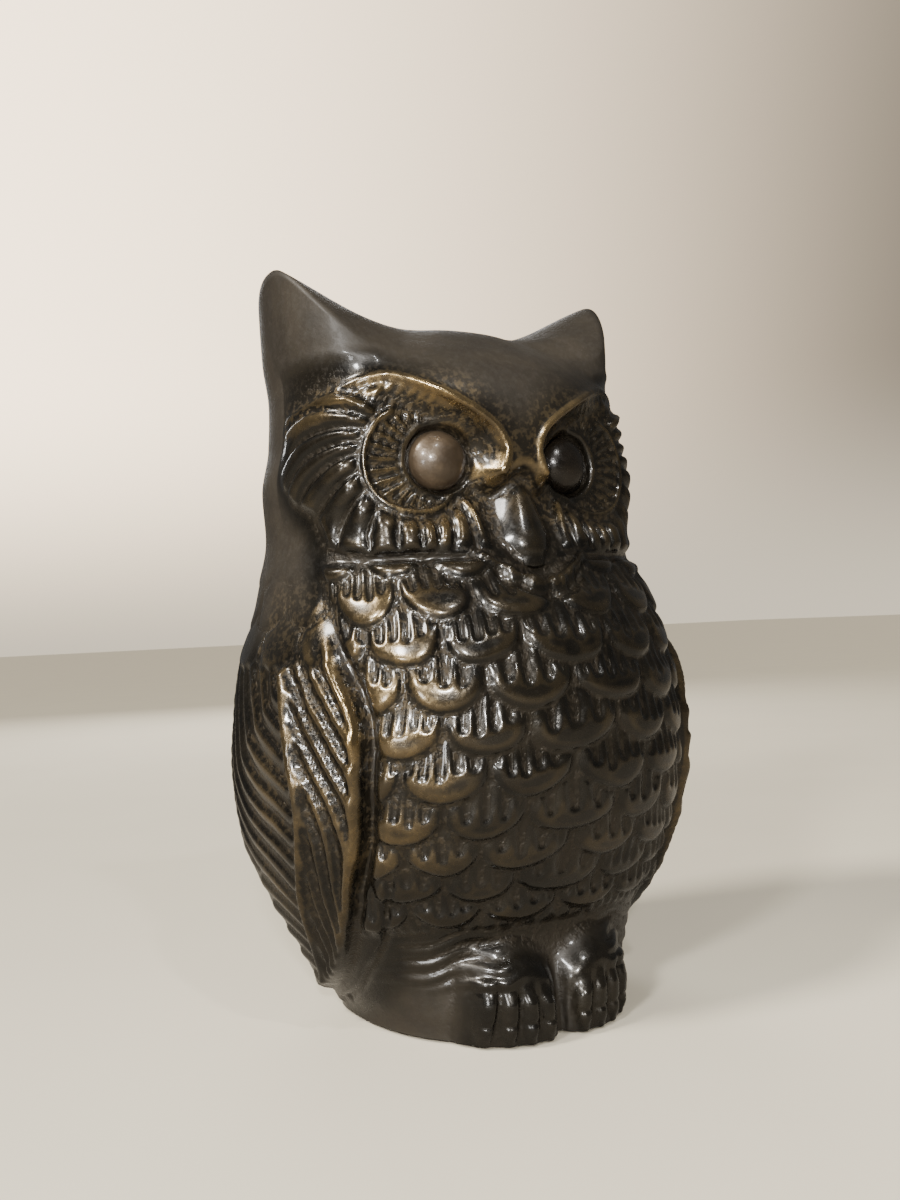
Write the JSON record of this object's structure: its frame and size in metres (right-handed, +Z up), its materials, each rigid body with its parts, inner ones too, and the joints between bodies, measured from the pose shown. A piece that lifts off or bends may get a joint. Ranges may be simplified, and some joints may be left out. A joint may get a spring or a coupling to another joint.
{
  "type": "owl figurine",
  "caption": "Small cast bronze owl with ear tufts, scaled breast feathers, folded wings and domed eye studs, on a low plinth with a felt base.",
  "frame": {"origin": "centre of the figure's outline on the plane it rests on, the underside of the felt pad", "axes": "+Z up, the owl looks along -Y, and its left wing is on +X"},
  "size_m": [0.0484, 0.0444, 0.08],
  "materials": {
    "bronze": "cast bronze with a dark brown patina, rubbed golden on the high edges",
    "eye_bronze": "polished bronze with a warm brown patina",
    "sheet_brass": "brushed and dulled",
    "screw_brass": "turned",
    "felt": "dark green pressed wool felt"
  },
  "bodies": {
    "root": {"front_shell": "bronze", "back_shell": "bronze", "eye_right": "eye_bronze", "eye_left": "eye_bronze", "base_plate": "sheet_brass", "plate_screws": "screw_brass", "felt_pad": "felt"}
  },
  "joints": []
}
